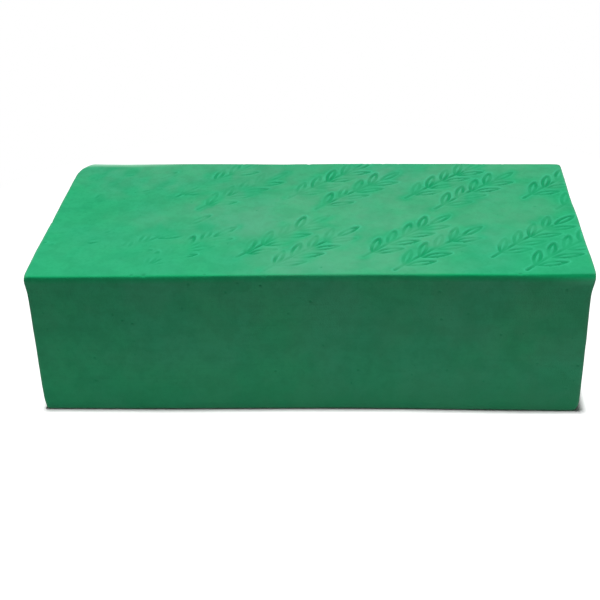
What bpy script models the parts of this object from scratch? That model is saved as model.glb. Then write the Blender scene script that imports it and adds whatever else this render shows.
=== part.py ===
"""Floral foam brick: one sawn block of green water-holding foam.

The block stands on its largest face, centred on the origin, with its length along X,
its depth along Y and the face that carries the pressed mark on top. The front is at -Y.
The mark is a field of leafy sprigs, pressed in slanting pairs all over the top.
"""

import math

import bmesh
import bpy
from mathutils import Matrix, Vector

# The block, in metres.
LENGTH = 0.230
DEPTH = 0.108
HEIGHT = 0.066
EDGE_SOFTNESS = 0.0007
EDGE_SEGMENTS = 2

# The crushed top corner at the back left: how far the damage runs along each edge.
CRUSH_ALONG_LENGTH = 0.0065
CRUSH_ALONG_DEPTH = 0.009
CRUSH_DOWN = 0.0028
CRUSH_CUTTER_SIZE = 0.060

# The pressed sprigs. A pair of sprigs is one stamp, and stamps repeat in slanting rows.
STAMP_STEP = 0.053
ROW_STEP = 0.0557
ROW_SHIFT = 0.018
FIRST_STAMP = Vector((0.0085, 0.0255))
STAMP_COLUMNS = range(-1, 3)
STAMP_ROWS = range(0, 2)
SPRIG_OFFSET = Vector((0.0065, -0.0055))
SPRIG_ANGLE = math.radians(46)
SPRIG_LENGTH = 0.040
STEM_WIDTH = 0.0013
LEAF_PAIRS = 4
LEAF_SPACING = 0.0096
LEAF_LENGTH = 0.012
LEAF_WIDTH = 0.0027
LEAF_ANGLE = math.radians(30)
LEAF_GAP = 0.0016

# How deep the stamp went in: it fades out towards the left end.
PRESS_DEPTH = 0.0009
PRESS_LIFT = 0.0001
FADE_START = -0.075
FADE_END = 0.060
FADE_LEAST = 0.45

# Facets of a pressed leaf or stem.
LEAF_SEGMENTS = 4
LEAF_RINGS = 6

FOAM_COLOUR = (0.030, 0.280, 0.130, 1.0)
FOAM_ROUGHNESS = 0.9


def clear_scene():
    for item in list(bpy.data.objects):
        bpy.data.objects.remove(item, do_unlink=True)


def new_collection(name):
    collection = bpy.data.collections.new(name)
    bpy.context.scene.collection.children.link(collection)
    return collection


def foam_material():
    material = bpy.data.materials.new("green_foam")
    material.use_nodes = True
    surface = material.node_tree.nodes["Principled BSDF"]
    surface.inputs["Base Color"].default_value = FOAM_COLOUR
    surface.inputs["Roughness"].default_value = FOAM_ROUGHNESS
    surface.inputs["Metallic"].default_value = 0.0
    material.diffuse_color = FOAM_COLOUR
    return material


def new_object(name, mesh, collection):
    item = bpy.data.objects.new(name, mesh)
    collection.objects.link(item)
    return item


def make_cutter(item):
    item.hide_render = True
    item.display_type = "WIRE"


def block(collection):
    """The sawn block, with its edges slightly rubbed down."""
    mesh = bpy.data.meshes.new("foam_brick")
    shape = bmesh.new()
    bmesh.ops.create_cube(shape, size=1.0)
    bmesh.ops.scale(shape, vec=(LENGTH, DEPTH, HEIGHT), verts=shape.verts)
    bmesh.ops.translate(shape, vec=(0, 0, HEIGHT / 2), verts=shape.verts)
    shape.to_mesh(mesh)
    shape.free()
    brick = new_object("foam_brick", mesh, collection)
    edges = brick.modifiers.new("rubbed_edges", "BEVEL")
    edges.width = EDGE_SOFTNESS
    edges.segments = EDGE_SEGMENTS
    edges.limit_method = "ANGLE"
    return brick


def crushed_corner_cutter(collection):
    """A cube whose lower face slopes across the back left corner of the top."""
    corner = Vector((-LENGTH / 2, DEPTH / 2, HEIGHT))
    along_length = corner + Vector((CRUSH_ALONG_LENGTH, 0, 0))
    along_depth = corner - Vector((0, CRUSH_ALONG_DEPTH, 0))
    down = corner - Vector((0, 0, CRUSH_DOWN))
    normal = (along_depth - down).cross(along_length - down).normalized()
    if normal.z < 0:
        normal.negate()
    mesh = bpy.data.meshes.new("crushed_corner")
    shape = bmesh.new()
    bmesh.ops.create_cube(shape, size=CRUSH_CUTTER_SIZE)
    shape.to_mesh(mesh)
    shape.free()
    cutter = new_object("crushed_corner", mesh, collection)
    middle = (along_length + along_depth + down) / 3
    cutter.rotation_mode = "QUATERNION"
    cutter.rotation_quaternion = normal.to_track_quat("Z", "Y")
    cutter.location = middle + normal * CRUSH_CUTTER_SIZE / 2
    make_cutter(cutter)
    return cutter


def spindle_mesh(name, length, width):
    """A round body pointed at both ends, lying along X, for pressing a leaf or a stem."""
    mesh = bpy.data.meshes.new(name)
    shape = bmesh.new()
    bmesh.ops.create_uvsphere(shape, u_segments=LEAF_SEGMENTS, v_segments=LEAF_RINGS, radius=1.0)
    half_segment = math.pi / LEAF_SEGMENTS
    turn = Matrix.Rotation(math.pi / 2, 3, "Y") @ Matrix.Rotation(half_segment, 3, "Z")
    bmesh.ops.rotate(shape, matrix=turn, verts=shape.verts)
    flat_size = math.cos(half_segment)
    half_width = width / 2 / flat_size
    deepest = (PRESS_DEPTH + PRESS_LIFT) / flat_size
    bmesh.ops.scale(shape, vec=(length / 2, half_width, deepest), verts=shape.verts)
    shape.to_mesh(mesh)
    shape.free()
    return mesh


def press_strength(x):
    """The share of the full depth that the stamp reached at this place along the length."""
    share = (x - FADE_START) / (FADE_END - FADE_START)
    return FADE_LEAST + (1.0 - FADE_LEAST) * min(max(share, 0.0), 1.0)


def press(name, mesh, place, angle, collection):
    """One leaf or stem of the stamp, laid on the top face."""
    cutter = new_object(name, mesh, collection)
    cutter.location = (place.x, place.y, HEIGHT + PRESS_LIFT)
    cutter.rotation_euler = (0, 0, angle)
    cutter.scale = (1, 1, press_strength(place.x))
    make_cutter(cutter)


def along(angle, distance):
    return Vector((math.cos(angle), math.sin(angle))) * distance


def press_sprig(name, middle, leaf, stem, collection):
    """A straight stem with leaves in pairs along it and one leaf at its tip."""
    press(name + "_stem", stem, middle, SPRIG_ANGLE, collection)
    start = middle - along(SPRIG_ANGLE, SPRIG_LENGTH / 2)
    for pair in range(LEAF_PAIRS):
        foot = start + along(SPRIG_ANGLE, LEAF_SPACING * (pair + 0.5))
        for side in (-1, 1):
            angle = SPRIG_ANGLE + side * LEAF_ANGLE
            place = foot + along(angle, LEAF_GAP + LEAF_LENGTH / 2)
            press(f"{name}_leaf_{pair}_{side}", leaf, place, angle, collection)
    tip = start + along(SPRIG_ANGLE, SPRIG_LENGTH + LEAF_GAP + LEAF_LENGTH / 2)
    press(name + "_tip_leaf", leaf, tip, SPRIG_ANGLE, collection)


def press_all_sprigs(collection):
    """Every sprig of the mark, two to a stamp."""
    leaf = spindle_mesh("pressed_leaf", LEAF_LENGTH, LEAF_WIDTH)
    stem = spindle_mesh("pressed_stem", SPRIG_LENGTH, STEM_WIDTH)
    for row in STAMP_ROWS:
        for column in STAMP_COLUMNS:
            step = Vector((STAMP_STEP * column - ROW_SHIFT * row, -ROW_STEP * row))
            centre = FIRST_STAMP + step
            for number, side in enumerate((-1, 1)):
                name = f"sprig_{row}_{column + 1}_{number}"
                press_sprig(name, centre + SPRIG_OFFSET * side, leaf, stem, collection)


def cut(brick, name, operand, is_collection):
    """Takes one cutter, or a whole collection of them, out of the brick."""
    modifier = brick.modifiers.new(name, "BOOLEAN")
    modifier.operation = "DIFFERENCE"
    modifier.solver = "EXACT"
    if is_collection:
        modifier.operand_type = "COLLECTION"
        modifier.collection = operand
    else:
        modifier.object = operand


def main():
    clear_scene()
    parts = new_collection("floral_foam_brick")
    cutters = new_collection("cutters")
    stamp = new_collection("stamp_cutters")
    brick = block(parts)
    brick.data.materials.append(foam_material())
    cut(brick, "crushed_corner", crushed_corner_cutter(cutters), is_collection=False)
    press_all_sprigs(stamp)
    cut(brick, "pressed_sprigs", stamp, is_collection=True)


main()
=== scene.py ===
"""Looks of the floral foam brick: the fine surface of the block, its foam, the light and the camera.

The brick is one piece. Its visual mesh starts as a plain block with the CAD solid's sizes, is divided
more finely where there is something small to show, and is then shaped: the sawn faces wander a little,
the edges are rubbed and dented, one corner is crushed, and leafy sprigs are pressed into the top.
Masks stored at the mesh's points then tell the material where the foam is pressed, dusty or rubbed, and
where shade and highlights are painted on.
"""

import math

import bmesh
import bpy
import numpy as np
from mathutils import Matrix, Vector, kdtree


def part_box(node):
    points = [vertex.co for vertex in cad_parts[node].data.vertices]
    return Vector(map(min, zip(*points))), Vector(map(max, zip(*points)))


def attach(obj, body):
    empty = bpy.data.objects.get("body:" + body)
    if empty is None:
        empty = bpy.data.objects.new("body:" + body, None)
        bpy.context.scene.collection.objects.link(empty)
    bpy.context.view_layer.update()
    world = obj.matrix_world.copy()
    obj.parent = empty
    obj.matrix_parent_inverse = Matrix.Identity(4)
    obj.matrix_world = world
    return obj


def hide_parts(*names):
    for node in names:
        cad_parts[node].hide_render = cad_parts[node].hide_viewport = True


MM = 0.001

# The pressed sprigs, placed as in the CAD solid: two to a stamp, the stamps in slanting rows. The column at
# the far left is only here, and the stamp hardly touched the foam there.
STAMP_STEP = 53 * MM
ROW_STEP = 55.7 * MM
ROW_SHIFT = 18 * MM
FIRST_STAMP = np.array([8.5, 25.5]) * MM
STAMP_COLUMNS = range(-2, 3)
STAMP_ROWS = range(0, 2)
SPRIG_OFFSET = np.array([6.5, -5.5]) * MM
SPRIG_ANGLE = math.radians(46)
SPRIG_LENGTH = 40 * MM
LEAF_PAIRS = 4
LEAF_SPACING = 9.6 * MM
LEAF_LENGTH = 12 * MM
LEAF_WIDTH = 2.7 * MM
LEAF_ANGLE = math.radians(30)
LEAF_GAP = 1.6 * MM
STEM_BOW = 0.7 * MM
STROKE_STEP = 0.3 * MM
STROKE_REACH = 1.0 * MM
STROKE_FLAT = 0.2 * MM
PRESS_DEPTH = 1.0 * MM
MARK_MARGIN = 2 * MM

# The stamp went in evenly at the right, and towards the left only here and there. A line is deep where a
# random field rises from the first level to the second, and both levels are higher where the stamp faded
# and where it left the foam bare. Lines also fade beside the block's edges. Each point of the top takes
# the deepest press of its nearest neighbours on the lines.
FADE_START = 70 * MM
FADE_END = -115 * MM
BARE_START = -58 * MM
BARE_END = -95 * MM
FAINT_SHARE = 0.3
DEEP_LEVELS = (-0.9, 1.2)
FADED_LEVELS = (1.2, 0.8)
BARE_LEVELS = (0.7, 0.2)
RIM_FADE = 2.8 * MM
NEIGHBOURS = 5
TOP_DEPTH = 2 * MM
TOP_SLOPE = 0.5

# The foam stands up a little beside each line, with a painted highlight on it, and the stamp took dust off
# round it, in places.
LIP_REACH = 1.2 * MM
LIP_HEIGHT = 0.07 * MM
RUB_REACH = 5 * MM
RUB_FULL = 0.3 * RUB_REACH
RUB_LEVELS = (-0.5, 0.9)
RUBBED_OFF = 0.7

# Worn corners: which corner, how far the wear runs along each of its edges, and how round it is, in mm.
# The first is the crushed one at the back left of the top, and the second the bruised edge beside it. The
# fifth is the worn right end of the front edge of the top.
WORN_CORNERS = (
    ((-1, 1, 1), (5.0, 11.5, 2.8), 0.4),
    ((-1, 1, 1), (26.0, 0.5, 0.4), 0.3),
    ((-1, -1, 1), (1.2, 2.4, 2.0), 0.4),
    ((1, -1, 1), (0.8, 1.6, 2.0), 0.4),
    ((1, -1, 1), (23.0, 1.7, 3.8), 0.3),
    ((1, -1, -1), (2.2, 3.0, 5.0), 0.4),
    ((-1, -1, -1), (1.6, 3.2, 6.0), 0.4),
    ((1, 1, 1), (1.2, 1.5, 1.4), 0.4),
    ((1, 1, -1), (2.4, 2.0, 1.6), 0.4),
    ((-1, 1, -1), (2.0, 2.6, 1.8), 0.4),
)

# The crushed corner is rough, and a pale painted highlight, where the bevelled edge catches the light, runs
# from it along the back edge of the top.
CRUSH_ROUGHNESS = 0.07 * MM
CRUSH_ROUGH_REACH = (8 * MM, 16 * MM)
BACK_HIGHLIGHT_LENGTH = 56 * MM
BACK_HIGHLIGHT_FULL = BACK_HIGHLIGHT_LENGTH / 3
BACK_HIGHLIGHT_IN = 1.2 * MM
BACK_HIGHLIGHT_WIDTH = 1.7 * MM

# The block was sawn a little out of square: how far each corner is out, in mm.
OUT_OF_SQUARE = {
    (-1, -1, -1): (-0.75, -1.7, 0.0),
    (-1, -1, 1): (0.4, -0.7, -0.1),
    (-1, 1, -1): (-0.8, 1.0, 0.0),
    (-1, 1, 1): (0.2, 1.9, 0.25),
    (1, -1, -1): (-0.1, -1.0, 0.0),
    (1, -1, 1): (0.8, 0.0, 0.3),
    (1, 1, -1): (0.0, -0.6, 0.0),
    (1, 1, 1): (0.2, -0.9, 0.0),
}

# The top edges of both ends stand a little proud: how far, how far down the lean starts and is full, and
# how far in from the end. The right one does so only from a little behind the middle to the front, and it
# bulges in the middle as well.
FLARE_RIGHT = 1.4 * MM
FLARE_LEFT = 0.9 * MM
FLARE_DROP = 13 * MM
FLARE_FULL = 1.5 * MM
FLARE_WIDTH = 16 * MM
FLARE_START = 10 * MM
BULGE = 0.5 * MM
BULGE_HALF_WIDTH = 13 * MM

# The front face is slightly hollow: how deep, where along the length, and over what half width.
HOLLOW_DEPTH = 1.15 * MM
HOLLOW_PLACE = 20 * MM
HOLLOW_HALF_WIDTH = 60 * MM

# Sawn faces, which are flat only where the block rests.
FACE_WANDER = 0.1 * MM
FINE_WANDER = 0.25
REST_HEIGHT = 3 * MM

# Rounded edges, rubbed pale for a short way to each side. The front edge of the top is not rubbed, apart
# from its two ends.
EDGE_RADIUS = 0.8 * MM
EDGE_RADIUS_SPREAD = 0.12 * MM
EDGE_REACH = 1.4 * MM
UNRUBBED_DOWN = 4 * MM
UNRUBBED_IN = 2 * MM

# The clean strip at the front edge of the top.
RIM_WIDTH = 1.5 * MM
RIM_BELOW = (0.4 * RIM_WIDTH, 2.2 * RIM_WIDTH)
RIM_BEHIND = 0.8 * RIM_WIDTH
RIM_STRENGTH = 0.75
RIM_UNEVENNESS = 0.3

# The size of the mesh's cells, from plain areas to the finest detail, and how near detail or an edge calls
# for the two smaller ones. A cell is halved where it is longer than its place's size by the slack.
CELL = 3.6 * MM
FACE_CELL = 1.8 * MM
NEAR_CELL = 0.9 * MM
FINE_CELL = 0.45 * MM
FACE_SKIN = 1 * MM
NEAR_DETAIL = 2 * MM
NEAR_EDGE = 2.2 * MM
FINE_DETAIL = 1.0 * MM
FINE_EDGE = 1.1 * MM
DETAIL_SEARCH = 3 * MM
CRUSH_CELLS = 24 * MM
CELL_SLACK = 1.35
CELL_LEVELS = 3

# Open pores: each face's axis, side and number of them, how large they are, and how deep for their size.
# They are painted darker inside, as painted shade.
# The torn spots are larger pores by the front edge of the top: where along it, and how large, in mm.
FACE_PORES = ((2, 1, 26), (2, -1, 20), (1, -1, 44), (1, 1, 44), (0, -1, 20), (0, 1, 20))
FACE_MARGIN = 2 * MM
PORE_RADIUS = (0.35 * MM, 0.7 * MM)
PORE_DEPTH = 0.45
PIT_CURVE = 1.5
TORN_SPOTS = ((-71, 0.9), (-66, 1.2), (-41, 0.8), (86, 1.0))
TORN_IN = 0.9 * MM

# Dents in the edges. They lie in turn on edges along these axes, and round the top, but every fifth may be
# at the base.
EDGE_DENTS = 18
DENT_AXES = (0, 0, 1, 2)
DENT_BELOW = 5
DENT_RADIUS = (0.7 * MM, 1.5 * MM)
DENT_DEPTH = 0.15
# The dents are painted with this share of the pores' painted shade.
DENT_SHADE = 0.5

# Foam colours, linear.
FOAM_GREEN = (0.0135, 0.272, 0.112, 1)
COOL_GREEN = (0.0165, 0.262, 0.122, 1)
# Besides the foam's own darker tone, also the painted shade at the foot of the sides and in the pores and
# dents.
DEEP_GREEN = (0.006, 0.190, 0.076, 1)
# The pressed lines: the bare crushed foam's own colour, darkened further as painted shade in the grooves.
PRESSED_AND_SHADED_GREEN = (0.002, 0.202, 0.076, 1)
RIM_GREEN = (0.001, 0.295, 0.100, 1)
# The painted light on the front part of the top.
PAINTED_LIGHT_GREEN = (0.024, 0.330, 0.150, 1)
PALE_DUST = (0.23, 0.28, 0.262, 1)
# The painted highlight along the back edge of the top.
BACK_HIGHLIGHT_GREEN = (0.26, 0.46, 0.34, 1)
# The painted highlight on the foam standing up beside the pressed lines.
LIP_HIGHLIGHT_GREEN = (0.042, 0.42, 0.225, 1)

# Where pale dust lies on the top: centre, half width and half depth in mm, and how much, from 0 to 1.
DUST_PATCHES = (
    (0, -1, 78, 28, 1.0),
    (16, -34, 46, 30, 1.0),
    (50, -16, 36, 22, 0.9),
    (30, 30, 48, 32, 0.95),
    (80, 8, 26, 28, 0.75),
    (-40, 44, 80, 18, 0.8),
    (60, 48, 80, 14, 0.85),
    (-50, 0, 56, 60, 0.2),
    (10, -30, 60, 40, 0.4),
)
DUST_LOBE = (0.35, 1.5)
DUST_DRIFT = 6 * MM
DUST_RAGGED = 2.2 * MM

# Dust on the sides, thicker towards the top and the right, and painted shade at the foot of the sides.
SIDE_DUST = 0.5
SIDE_TREND = 0.25
SIDE_START = (0.8 * MM, 3.0 * MM)
FOOT_SHADE_HEIGHT = 24 * MM
FOOT_SHADE_TREND = 0.2

# The top is painted a little lighter towards the front, a painted light, from this far behind the middle.
PAINTED_LIGHT_REACH = 45 * MM

# Random fields: the seed, and the shortest and the longest wave in mm.
WAVES = 14
RIPPLES = {
    "wander": (3, 30, 90),
    "fine wander": (4, 6, 16),
    "pressing": (5, 6, 18),
    "edge radius": (11, 5, 40),
    "crushed": (17, 3, 12),
    "drift along": (31, 20, 50),
    "drift across": (32, 20, 50),
    "ragged along": (33, 6, 16),
    "ragged across": (34, 6, 16),
    "rim": (41, 15, 60),
    "rubbing": (43, 9, 24),
}

# The material's noises: scale per metre, detail, and the stretch along each axis.
NOISE_ROUGHNESS = 0.55
NOISES = {
    "blotch": (24.0, 3.0, None),
    "patch": (110.0, 4.0, None),
    "fleck": (330.0, 3.0, None),
    "speck": (900.0, 2.0, None),
    "streak": (60.0, 3.0, (0.35, 0.35, 14.0)),
    "thin": (60.0, 4.0, None),
    "grain": (3800.0, 2.0, None),
}

# How the noises shade the foam: the part of each noise's range that counts, and how dark it gets.
BLOTCH_RANGE = (0.35, 0.65)
SHADES = (
    ("patch", 0.42, 0.62, 0.34),
    ("streak", 0.5, 0.8, 0.24),
    ("fleck", 0.45, 0.7, 0.27),
    ("speck", 0.5, 0.75, 0.25),
)
DUST_SHARE = 0.15
DUST_THICKNESS = (0.38, 0.62, 0.8, 1.18)

# How strongly each mask tints the foam under the dust, and then over it.
# Both tints here are painted: the foot is painted shade low on the sides, the light is painted light on the
# front of the top.
TINTS_UNDER_DUST = (("foot", 0.8, DEEP_GREEN), ("light", 0.25, PAINTED_LIGHT_GREEN))
TINTS_OVER_DUST = (
    ("rubbed", 0.16, PALE_DUST),
    # Painted highlight along the back edge of the top.
    ("back_highlight", 0.75, BACK_HIGHLIGHT_GREEN),
    ("rim", 0.9, RIM_GREEN),
    # Painted highlight beside the pressed lines.
    ("lip_and_highlight", 0.5, LIP_HIGHLIGHT_GREEN),
    # The pressed lines are partly the bare crushed foam's own colour and partly painted shade in the
    # grooves.
    ("pressed", 0.9, PRESSED_AND_SHADED_GREEN),
    # Painted shade in the pores, and half as much in the dents.
    ("pore_and_dent_shade", 0.8, DEEP_GREEN),
)

# Dry foam hardly shines. Its cells are about half a millimetre across, and the saw left faint lines.
ROUGHNESS = (0.3, 0.7, 0.84, 0.98)
SHINE = 0.08
CELL_SCALE = 1900.0
CELL_RANGE = (0.0, 0.55)
CELL_RELIEF = {"Strength": 0.45, "Distance": 0.00012}
SAW_RELIEF = {"Strength": 0.3, "Distance": 0.0003}

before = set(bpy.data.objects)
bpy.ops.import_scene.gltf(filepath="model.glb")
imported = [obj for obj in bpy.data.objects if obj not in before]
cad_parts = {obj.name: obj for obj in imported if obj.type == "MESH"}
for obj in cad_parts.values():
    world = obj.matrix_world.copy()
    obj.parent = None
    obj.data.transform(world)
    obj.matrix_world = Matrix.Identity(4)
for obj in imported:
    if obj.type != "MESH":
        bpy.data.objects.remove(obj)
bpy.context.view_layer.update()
LOW, HIGH = (np.array(corner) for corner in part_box("foam_brick"))
MIDDLE = (LOW + HIGH) / 2
HALF = (HIGH - LOW) / 2
CRUSHED_CORNER = np.array([LOW[0], HIGH[1], HIGH[2]])
dice = np.random.default_rng(23)


# ---------------------------------------------------------------- helpers

def smooth_step(low, high, value):
    """Runs softly from 0 where the value is low to 1 where it is high. Low may be the larger of the two."""
    share = np.clip((value - low) / (high - low), 0, 1)
    return share * share * (3 - 2 * share)


def ripples(name, points):
    """A smooth random field at the points, made of plane waves, with values of about -1 to 1."""
    seed, shortest, longest = RIPPLES[name]
    draw = np.random.default_rng(seed)
    length = draw.uniform(shortest * MM, longest * MM, WAVES)
    direction = draw.normal(size=(WAVES, 3))
    direction /= np.linalg.norm(direction, axis=1)[:, None]
    phase = draw.uniform(0, 2 * math.pi, WAVES)
    angle = points @ (direction * (2 * math.pi / length)[:, None]).T + phase
    return np.sin(angle).sum(axis=1) / math.sqrt(WAVES)


def along(angle, distance):
    """A flat step at an angle from +X."""
    return np.array([math.cos(angle), math.sin(angle)]) * distance


# ---------------------------------------------------------------- the pressed sprigs

def stroke(start, angle, length, bow):
    """Points along one pressed line from start, bowed sideways in the middle."""
    share = np.linspace(0, 1, int(length / STROKE_STEP))[:, None]
    side = 4 * share * (1 - share) * bow
    return start + share * along(angle, length) + side * along(angle + math.pi / 2, 1.0)


def leaf_strokes(foot, angle):
    """A leaf as two bowed edges that meet at its ends."""
    return [stroke(foot, angle, LEAF_LENGTH, side * LEAF_WIDTH / 2) for side in (-1, 1)]


def sprig_strokes(middle):
    """A stem, leaves in pairs along it, and one leaf at its tip."""
    start = middle - along(SPRIG_ANGLE, SPRIG_LENGTH / 2)
    strokes = [stroke(start, SPRIG_ANGLE, SPRIG_LENGTH, STEM_BOW)]
    for pair in range(LEAF_PAIRS):
        foot = start + along(SPRIG_ANGLE, LEAF_SPACING * (pair + 0.5))
        for side in (-1, 1):
            angle = SPRIG_ANGLE + side * LEAF_ANGLE
            strokes += leaf_strokes(foot + along(angle, LEAF_GAP), angle)
    tip = start + along(SPRIG_ANGLE, SPRIG_LENGTH + LEAF_GAP)
    return strokes + leaf_strokes(tip, SPRIG_ANGLE)


def mark_points():
    """Every point of every pressed line on the top, in metres."""
    strokes = []
    for row in STAMP_ROWS:
        for column in STAMP_COLUMNS:
            step = np.array([STAMP_STEP * column - ROW_SHIFT * row, -ROW_STEP * row])
            for side in (-1, 1):
                strokes += sprig_strokes(FIRST_STAMP + step + SPRIG_OFFSET * side)
    points = np.concatenate(strokes)
    inside = (np.abs(points - MIDDLE[:2]) < HALF[:2] + MARK_MARGIN).all(axis=1)
    points = points[inside]
    return np.column_stack([points, np.full(len(points), HIGH[2])])


def mark_depths(points):
    """How deep each point is pressed: a faint line with deep places, fewer towards the left end."""
    faded = smooth_step(FADE_START, FADE_END, points[:, 0])
    bare = smooth_step(BARE_START, BARE_END, points[:, 0])
    levels = zip(DEEP_LEVELS, FADED_LEVELS, BARE_LEVELS)
    low, high = [level + more * faded + most * bare for level, more, most in levels]
    deep = smooth_step(low, high, ripples("pressing", points))
    faint = FAINT_SHARE * (1 - faded)
    return PRESS_DEPTH * (faint + (1 - faint) * deep)


# ---------------------------------------------------------------- pores and dents

def on_face(axis, side, count):
    """Random places on one face of the block."""
    points = MIDDLE + dice.uniform(-1, 1, (count, 3)) * (HALF - FACE_MARGIN)
    points[:, axis] = MIDDLE[axis] + side * HALF[axis]
    return points


def pore_places():
    """Where the pores are, and the radius and depth of each."""
    points = np.concatenate([on_face(axis, side, count) for axis, side, count in FACE_PORES])
    radius = dice.uniform(*PORE_RADIUS, len(points))
    torn = [[MIDDLE[0] + place * MM, LOW[1] + TORN_IN, HIGH[2]] for place, _ in TORN_SPOTS]
    points = np.concatenate([points, torn])
    radius = np.concatenate([radius, [size * MM for _, size in TORN_SPOTS]])
    return points, radius, radius * PORE_DEPTH


def dent_places():
    """Random places on the edges of the block, and the radius and depth of each dent."""
    points = MIDDLE + dice.uniform(-1, 1, (EDGE_DENTS, 3)) * HALF
    for number, point in enumerate(points):
        run = DENT_AXES[number % len(DENT_AXES)]
        for axis in range(3):
            if axis != run:
                on_top = axis == 2 and number % DENT_BELOW
                side = 1 if on_top else (-1, 1)[int(dice.integers(2))]
                point[axis] = MIDDLE[axis] + side * HALF[axis]
    radius = dice.uniform(*DENT_RADIUS, EDGE_DENTS)
    return points, radius, radius * DENT_DEPTH


def tree_of(points):
    """A search tree that finds the points nearest to a place."""
    tree = kdtree.KDTree(len(points))
    for number, point in enumerate(points):
        tree.insert(point, number)
    tree.balance()
    return tree


# ---------------------------------------------------------------- the mesh

def plain_block():
    """A block of near-square cells, all faces joined."""
    shape = bmesh.new()
    bmesh.ops.create_cube(shape, size=1.0)
    bmesh.ops.scale(shape, vec=HALF * 2, verts=shape.verts)
    bmesh.ops.translate(shape, vec=MIDDLE, verts=shape.verts)
    for axis in range(3):
        normal = Vector((0, 0, 0))
        normal[axis] = 1
        count = round(2 * HALF[axis] / CELL)
        for step in range(1, count):
            place = Vector(LOW) + normal * (2 * HALF[axis] * step / count)
            everything = shape.verts[:] + shape.edges[:] + shape.faces[:]
            bmesh.ops.bisect_plane(shape, geom=everything, plane_co=place, plane_no=normal)
    return shape


def nearest(tree, points, limit):
    """The distance from each point to the tree's nearest, up to a limit."""
    found = np.full(len(points), limit)
    for number, point in enumerate(points):
        hit = tree.find(point)
        found[number] = min(hit[2], limit)
    return found


def edge_distance(points):
    """How far each point on the block is from the nearest edge."""
    return np.sort(HALF - np.abs(points - MIDDLE), axis=1)[:, 1]


def wanted_cell(centres, detail):
    """The cell size that each place needs. The top and the front are finer than the other faces."""
    edge = edge_distance(centres)
    upper = centres[:, 2] > MIDDLE[2]
    gap = nearest(detail, centres, DETAIL_SEARCH)
    crushed = np.linalg.norm(centres - CRUSHED_CORNER, axis=1) < CRUSH_CELLS
    finer = (centres[:, 2] > HIGH[2] - FACE_SKIN) | (centres[:, 1] < LOW[1] + FACE_SKIN)
    size = np.where(finer, FACE_CELL, CELL)
    size = np.where((gap < NEAR_DETAIL) | (edge < NEAR_EDGE) | crushed, NEAR_CELL, size)
    return np.where((gap < FINE_DETAIL) | ((edge < FINE_EDGE) & upper), FINE_CELL, size)


def refine(shape, detail):
    """Divides the cells that are larger than their place needs, one halving at a time."""
    for _ in range(CELL_LEVELS):
        centres = np.array([face.calc_center_median() for face in shape.faces])
        longest = np.array([max(edge.calc_length() for edge in face.edges) for face in shape.faces])
        too_large = longest > wanted_cell(centres, detail) * CELL_SLACK
        for edge in shape.edges:
            edge.tag = False
        for face, split in zip(shape.faces, too_large):
            if split:
                for edge in face.edges:
                    edge.tag = True
        edges = [edge for edge in shape.edges if edge.tag]
        bmesh.ops.subdivide_edges(shape, edges=edges, cuts=1, use_grid_fill=True, use_single_edge=True)


def round_edges(points):
    """Wraps the points round edges whose radius varies a little. Gives the points and the normals."""
    radius = (EDGE_RADIUS + EDGE_RADIUS_SPREAD * ripples("edge radius", points))[:, None]
    local = points - MIDDLE
    inner = np.clip(local, radius - HALF, HALF - radius)
    normal = local - inner
    normal /= np.linalg.norm(normal, axis=1)[:, None]
    return MIDDLE + inner + normal * radius, normal


def flatten_beyond(points, a, b, c, softness):
    """Pushes whatever is outside the plane through a, b and c back onto it, softly."""
    out = np.cross(b - a, c - a)
    out /= np.linalg.norm(out)
    if out @ (a - MIDDLE) < 0:
        out = -out
    above = (points - a) @ out
    kept = -softness * np.logaddexp(0, -above / softness)
    return points + (kept - above)[:, None] * out


def wear_corners(points):
    """Each worn corner flattened, and the crushed one left rough."""
    for side, reach, softness in WORN_CORNERS:
        corner = MIDDLE + side * HALF
        a, b, c = corner - np.diag(side * np.array(reach)) * MM
        points = flatten_beyond(points, a, b, c, softness * MM)
    near = 1 - smooth_step(*CRUSH_ROUGH_REACH, np.linalg.norm(points - CRUSHED_CORNER, axis=1))
    rough = ripples("crushed", points) * CRUSH_ROUGHNESS
    return points + (rough * near)[:, None]


def flare_ends(points):
    """Leans the top edges of both ends out, and makes the front slightly hollow."""
    rise = smooth_step(HIGH[2] - FLARE_DROP, HIGH[2] - FLARE_FULL, points[:, 2]) ** 2
    front = smooth_step(MIDDLE[1] + FLARE_START, LOW[1], points[:, 1])
    right = smooth_step(HIGH[0] - FLARE_WIDTH, HIGH[0], points[:, 0])
    left = smooth_step(LOW[0] + FLARE_WIDTH, LOW[0], points[:, 0])
    bulge = BULGE * np.exp(-((points[:, 1] - MIDDLE[1]) / BULGE_HALF_WIDTH) ** 2)
    ahead = smooth_step(MIDDLE[1], LOW[1], points[:, 1])
    hollow = HOLLOW_DEPTH * np.exp(-((points[:, 0] - HOLLOW_PLACE) / HOLLOW_HALF_WIDTH) ** 2)
    moved = points.copy()
    moved[:, 0] += rise * ((FLARE_RIGHT * front + bulge) * right - FLARE_LEFT * left)
    moved[:, 1] += hollow * ahead
    return moved


def skew(points):
    """Moves each corner by its own amount, and everything between in proportion."""
    share = (points - MIDDLE) / HALF / 2
    moved = points.copy()
    for side, shift in OUT_OF_SQUARE.items():
        weight = (0.5 + share * side).prod(axis=1)
        moved += weight[:, None] * np.array(shift) * MM
    return moved


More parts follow.
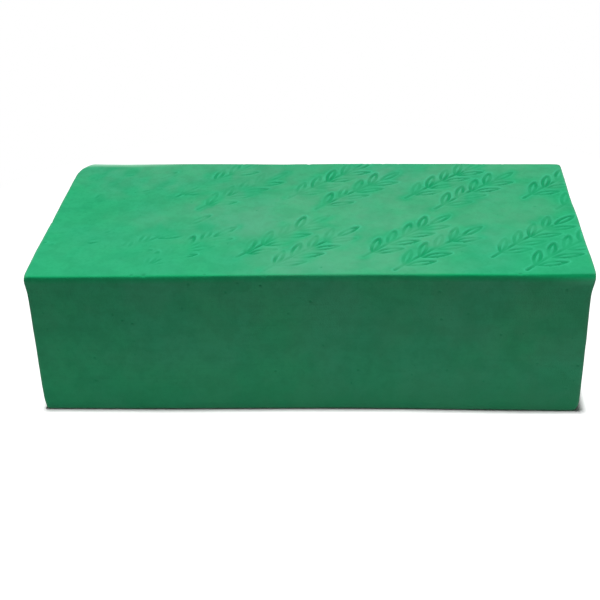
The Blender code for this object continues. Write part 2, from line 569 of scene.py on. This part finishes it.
def press_marks(points, normals, marks):
    """Presses the sprigs into the top. Gives the points, how deep each is pressed, which also sets the
    painted shade in the lines, how much it stands up beside a line, which also sets the painted highlight
    there, and how much it was rubbed by the stamp, all from 0 to 1."""
    depths = mark_depths(marks)
    tree = tree_of(marks)
    pressed = np.zeros(len(points))
    lip_and_highlight = np.zeros(len(points))
    rubbed = np.zeros(len(points))
    top = np.where((points[:, 2] > HIGH[2] - TOP_DEPTH) & (normals[:, 2] > TOP_SLOPE))[0]
    for number in top:
        found = tree.find_n(points[number], NEIGHBOURS)
        index = [hit[1] for hit in found]
        gap = np.array([hit[2] for hit in found])
        depth = depths[index] / PRESS_DEPTH
        pressed[number] = (depth * (1 - smooth_step(STROKE_FLAT, STROKE_REACH, gap))).max()
        beside = np.abs(gap[0] - STROKE_REACH) / LIP_REACH
        lip_and_highlight[number] = depth[0] * max(0.0, 1 - beside) ** 2
        rubbed[number] = 1 - smooth_step(RUB_FULL, RUB_REACH, gap[0])
    rubbed *= smooth_step(*RUB_LEVELS, ripples("rubbing", points))
    inward = (HALF[:2] - np.abs(points[:, :2] - MIDDLE[:2])).min(axis=1)
    pressed *= smooth_step(0, RIM_FADE, inward)
    moved = points.copy()
    moved[:, 2] += LIP_HEIGHT * lip_and_highlight - PRESS_DEPTH * pressed
    return moved, pressed, lip_and_highlight, rubbed


def sink(points, normals, places, radii, depths):
    """Sinks a small round hollow at each place. Gives the points and how deep each lies, from 0 to 1."""
    hollow = np.zeros(len(points))
    share = np.zeros(len(points))
    for place, radius, depth in zip(places, radii, depths):
        gap = np.linalg.norm(points - place, axis=1)
        inside = gap < radius
        amount = (1 - (gap[inside] / radius) ** 2) ** PIT_CURVE
        hollow[inside] = np.maximum(hollow[inside], depth * amount)
        share[inside] = np.maximum(share[inside], amount)
    return points - normals * hollow[:, None], share


def top_dust(flat):
    """How dusty each place on the top is: in patches with ragged edges."""
    drift = np.column_stack([ripples(name, flat) for name in ("drift along", "drift across")])
    ragged = np.column_stack([ripples(name, flat) for name in ("ragged along", "ragged across")])
    place = flat[:, :2] + (drift * DUST_DRIFT + ragged * DUST_RAGGED)
    dust = np.zeros(len(flat))
    for x, y, half_x, half_y, amount in DUST_PATCHES:
        away = (place - np.array([x, y]) * MM) / (np.array([half_x, half_y]) * MM)
        dust = np.maximum(dust, amount * (1 - smooth_step(*DUST_LOBE, np.linalg.norm(away, axis=1))))
    return dust


def dust_share(points):
    """How dusty each place is, from 0 to 1: in patches on the top, and nearly evenly on the sides."""
    place = points - MIDDLE
    below = HALF[2] - place[:, 2]
    trend = 1 + SIDE_TREND * (place[:, 0] / HALF[0] + place[:, 2] / HALF[2])
    side = SIDE_DUST * trend * smooth_step(*SIDE_START, below)
    return np.where(below < EDGE_RADIUS, top_dust(place * (1, 1, 0)), side)


def back_highlight_share(points):
    """The pale painted highlight along the back edge of the top, beside the crushed corner."""
    across = (HIGH[1] - points[:, 1] - BACK_HIGHLIGHT_IN) / BACK_HIGHLIGHT_WIDTH
    along_edge = smooth_step(LOW[0] + BACK_HIGHLIGHT_LENGTH, LOW[0] + BACK_HIGHLIGHT_FULL, points[:, 0])
    return np.exp(-across * across) * along_edge * (points[:, 2] > HIGH[2] - EDGE_RADIUS)


def rim_share(points):
    """The clean strip round the front edge of the top, stronger here and there."""
    strip = 1 - smooth_step(*RIM_BELOW, HIGH[2] - points[:, 2])
    strip *= 1 - smooth_step(0, RIM_BEHIND, points[:, 1] - LOW[1])
    strength = RIM_STRENGTH + RIM_UNEVENNESS * ripples("rim", points * (1, 0, 0))
    return strip * np.clip(strength, 0, 1)


def foot_shade_share(points):
    """Painted shade at the foot of the sides, darkest at the right, from 0 to 1."""
    up = smooth_step(0, FOOT_SHADE_HEIGHT, points[:, 2] - LOW[2])
    return (1 - up) * (1 - FOOT_SHADE_TREND + FOOT_SHADE_TREND * (points[:, 0] - MIDDLE[0]) / HALF[0])


def rubbed_share(points):
    """How much each place is rubbed pale, along every edge but the front one of the top."""
    front = (points[:, 1] < MIDDLE[1]) & (HIGH[2] - points[:, 2] < UNRUBBED_DOWN)
    middle = np.abs(points[:, 0] - MIDDLE[0]) < HALF[0] - UNRUBBED_IN
    return (1 - smooth_step(0, EDGE_REACH, edge_distance(points))) * ~(front & middle)


def painted_light_share(points):
    """The lighter front part of the top: painted light."""
    ahead = smooth_step(MIDDLE[1] + PAINTED_LIGHT_REACH, LOW[1], points[:, 1])
    return ahead * (points[:, 2] > HIGH[2] - FACE_SKIN)


def wander(points, normals, start):
    """The slight unevenness of the sawn faces, none where the block rests."""
    uneven = ripples("wander", start) + FINE_WANDER * ripples("fine wander", start)
    resting = smooth_step(LOW[2], LOW[2] + REST_HEIGHT, start[:, 2])
    return points + normals * (FACE_WANDER * uneven * resting)[:, None]


def shaped(start, marks, pores, dents):
    """Where the plain block's points end up, and the material's masks at them."""
    points, normals = round_edges(start)
    points, pressed, lip_and_highlight, rubbed = press_marks(points, normals, marks)
    points, in_pore = sink(points, normals, *pores)
    points, in_dent = sink(points, normals, *dents)
    points = wear_corners(wander(points, normals, start))
    masks = {
        "pressed": pressed,
        "pore_and_dent_shade": np.maximum(in_pore, DENT_SHADE * in_dent),
        "rubbed": rubbed_share(start),
        # The foot mask is painted shade low on the sides.
        "rim": rim_share(start),
        "light": painted_light_share(start),
        "foot": foot_shade_share(start),
        "lip_and_highlight": lip_and_highlight,
        "dust": dust_share(start) * (1 - RUBBED_OFF * rubbed),
        "back_highlight": back_highlight_share(start),
    }
    return skew(flare_ends(points)), masks


def brick_mesh():
    """The finished surface of the brick, with its masks for the material."""
    marks = mark_points()
    pores = pore_places()
    dents = dent_places()
    shape = plain_block()
    refine(shape, tree_of(np.concatenate([marks, pores[0], dents[0]])))
    start = np.array([vert.co for vert in shape.verts])
    points, masks = shaped(start, marks, pores, dents)
    for vert, place in zip(shape.verts, points):
        vert.co = place
    mesh = bpy.data.meshes.new("foam_brick_surface")
    shape.to_mesh(mesh)
    shape.free()
    mesh.shade_smooth()
    for name, values in masks.items():
        mesh.attributes.new(name, "FLOAT", "POINT").data.foreach_set("value", values.astype(np.float32))
    return mesh


# ---------------------------------------------------------------- the foam

class Graph:
    """A short way to build a material's nodes."""

    def __init__(self, name):
        self.material = bpy.data.materials.new(name)
        self.material.use_nodes = True
        self.tree = self.material.node_tree
        self.surface = self.tree.nodes["Principled BSDF"]
        self.place = self.add("ShaderNodeTexCoord").outputs["Object"]

    def add(self, kind, inputs=None, **settings):
        node = self.tree.nodes.new(kind)
        for name, value in settings.items():
            setattr(node, name, value)
        for name, value in (inputs or {}).items():
            self.feed(node.inputs[name], value)
        return node

    def feed(self, socket, value):
        if isinstance(value, bpy.types.NodeSocket):
            self.tree.links.new(value, socket)
        else:
            socket.default_value = value

    def noise(self, scale, detail, stretch=None):
        place = self.place
        if stretch:
            place = self.add("ShaderNodeMapping", {"Vector": place, "Scale": stretch}).outputs["Vector"]
        inputs = {"Vector": place, "Scale": scale, "Detail": detail, "Roughness": NOISE_ROUGHNESS}
        return self.add("ShaderNodeTexNoise", inputs).outputs["Fac"]

    def cells(self, scale):
        inputs = {"Vector": self.place, "Scale": scale}
        return self.add("ShaderNodeTexVoronoi", inputs, feature="F1").outputs["Distance"]

    def ramp(self, value, low, high, start=0.0, end=1.0):
        inputs = {"Value": value, "From Min": low, "From Max": high, "To Min": start, "To Max": end}
        return self.add("ShaderNodeMapRange", inputs, interpolation_type="SMOOTHSTEP").outputs["Result"]

    def combine(self, operation, a, b):
        node = self.add("ShaderNodeMath", operation=operation)
        self.feed(node.inputs[0], a)
        self.feed(node.inputs[1], b)
        return node.outputs["Value"]

    def mix(self, share, a, b):
        node = self.add("ShaderNodeMix", data_type="RGBA")
        colours = [socket for socket in node.inputs if socket.type == "RGBA"]
        self.feed(node.inputs["Factor"], share)
        self.feed(colours[0], a)
        self.feed(colours[1], b)
        return [socket for socket in node.outputs if socket.type == "RGBA"][0]

    def mask(self, name):
        return self.add("ShaderNodeAttribute", attribute_name=name).outputs["Fac"]

    def tint(self, colour, tints):
        """The colour with each mask's own colour laid over it, in turn."""
        for name, share, over in tints:
            colour = self.mix(self.combine("MULTIPLY", self.mask(name), share), colour, over)
        return colour


def foam_material():
    """Matt green foam: blotchy, with pale dust, fine cells and faint saw lines, and with painted light,
    shade and highlights from the masks.
    """
    graph = Graph("green_foam")
    noises = {name: graph.noise(*settings) for name, settings in NOISES.items()}
    colour = graph.mix(graph.ramp(noises["blotch"], *BLOTCH_RANGE), FOAM_GREEN, COOL_GREEN)
    for name, low, high, darkness in SHADES:
        colour = graph.mix(graph.ramp(noises[name], low, high, 0.0, darkness), colour, DEEP_GREEN)
    colour = graph.tint(colour, TINTS_UNDER_DUST)
    thickness = graph.ramp(noises["thin"], *DUST_THICKNESS)
    dust = graph.combine("MULTIPLY", graph.mask("dust"), thickness)
    colour = graph.mix(graph.combine("MULTIPLY", dust, DUST_SHARE), colour, PALE_DUST)
    colour = graph.tint(colour, TINTS_OVER_DUST)
    graph.feed(graph.surface.inputs["Base Color"], colour)
    graph.feed(graph.surface.inputs["Roughness"], graph.ramp(noises["speck"], *ROUGHNESS))
    graph.feed(graph.surface.inputs["Specular IOR Level"], SHINE)

    cells = graph.ramp(graph.cells(CELL_SCALE), *CELL_RANGE)
    grain = graph.combine("ADD", cells, noises["grain"])
    relief = graph.add("ShaderNodeBump", {"Height": grain, **CELL_RELIEF})
    lines = graph.add("ShaderNodeBump", {
        "Height": noises["streak"], "Normal": relief.outputs["Normal"], **SAW_RELIEF})
    graph.feed(graph.surface.inputs["Normal"], lines.outputs["Normal"])
    return graph.material


def make_brick():
    """The brick's one visual piece, attached to the root body."""
    mesh = brick_mesh()
    brick = bpy.data.objects.new("foam_brick_visual", mesh)
    bpy.context.scene.collection.objects.link(brick)
    mesh.materials.append(foam_material())
    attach(brick, "root")
    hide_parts("foam_brick")


# ---------------------------------------------------------------- studio

FLOOR_RADIUS = 0.26
FLOOR_SIDES = 96
FLOOR_COLOUR = (0.73, 0.73, 0.73, 1)
FLOOR_SHADE = (0.7154, 0.7154, 0.7154, 1)
FLOOR_NOISE = (3.0, 3.0)
FLOOR_RANGE = (0.3, 0.7)
FLOOR_ROUGHNESS = 0.95
SUN_STRENGTH = 4.88
SUN_ANGLE = math.radians(4)
SUN_TILT_BACK = math.radians(2)
SKY_FILL = 0.12
WHITE = (1, 1, 1, 1)
CAMERA_PLACE = Vector((36.0, -473.1, 305.0)) * MM
CAMERA_AZIMUTH = math.radians(4.17)
CAMERA_ELEVATION = math.radians(30.80)
CAMERA_ROLL = math.radians(-2.09)
CAMERA_LENS = 71.9
CAMERA_SENSOR = 36
CAMERA_SHIFT = -0.03


def make_floor():
    """A pale disc, just large enough to throw soft light back on the sides."""
    mesh = bpy.data.meshes.new("studio_floor")
    shape = bmesh.new()
    bmesh.ops.create_circle(shape, cap_ends=True, segments=FLOOR_SIDES, radius=FLOOR_RADIUS)
    shape.to_mesh(mesh)
    shape.free()
    floor = bpy.data.objects.new("studio_floor", mesh)
    bpy.context.scene.collection.objects.link(floor)
    graph = Graph("studio_floor")
    shade = graph.ramp(graph.noise(*FLOOR_NOISE), *FLOOR_RANGE)
    graph.feed(graph.surface.inputs["Base Color"], graph.mix(shade, FLOOR_COLOUR, FLOOR_SHADE))
    graph.feed(graph.surface.inputs["Roughness"], FLOOR_ROUGHNESS)
    graph.feed(graph.surface.inputs["Specular IOR Level"], 0.0)
    mesh.materials.append(graph.material)


def make_light():
    """A soft light from nearly straight above, tilted so that the front is in its own shade."""
    light = bpy.data.lights.new("soft_overhead", "SUN")
    light.energy = SUN_STRENGTH
    light.angle = SUN_ANGLE
    lamp = bpy.data.objects.new("soft_overhead", light)
    lamp.rotation_euler = (-SUN_TILT_BACK, 0, 0)
    bpy.context.scene.collection.objects.link(lamp)


def make_sky():
    """White behind everything, but only a weak fill light."""
    world = bpy.data.worlds.new("studio")
    world.use_nodes = True
    tree = world.node_tree
    fill = tree.nodes["Background"]
    fill.inputs["Color"].default_value = WHITE
    fill.inputs["Strength"].default_value = SKY_FILL
    white = tree.nodes.new("ShaderNodeBackground")
    white.inputs["Color"].default_value = WHITE
    seen = tree.nodes.new("ShaderNodeLightPath")
    both = tree.nodes.new("ShaderNodeMixShader")
    tree.links.new(seen.outputs["Is Camera Ray"], both.inputs["Fac"])
    tree.links.new(fill.outputs["Background"], both.inputs[1])
    tree.links.new(white.outputs["Background"], both.inputs[2])
    tree.links.new(both.outputs["Shader"], tree.nodes["World Output"].inputs["Surface"])
    bpy.context.scene.world = world


def make_camera():
    """Looks along +Y and down, turned and tilted a little."""
    right = Vector((math.cos(CAMERA_AZIMUTH), math.sin(CAMERA_AZIMUTH), 0))
    level = Vector((math.sin(CAMERA_AZIMUTH), -math.cos(CAMERA_AZIMUTH), 0))
    back = level * math.cos(CAMERA_ELEVATION) + Vector((0, 0, math.sin(CAMERA_ELEVATION)))
    upright = Matrix((right, back.cross(right), back)).transposed()
    lens = bpy.data.cameras.new("camera")
    lens.lens = CAMERA_LENS
    lens.sensor_width = CAMERA_SENSOR
    lens.shift_x = CAMERA_SHIFT
    camera = bpy.data.objects.new("camera", lens)
    turned = upright @ Matrix.Rotation(CAMERA_ROLL, 3, "Z")
    camera.matrix_world = Matrix.Translation(CAMERA_PLACE) @ turned.to_4x4()
    bpy.context.scene.collection.objects.link(camera)
    bpy.context.scene.camera = camera


make_camera()
make_brick()
make_floor()
make_light()
make_sky()
bpy.context.scene.view_settings.view_transform = "Standard"
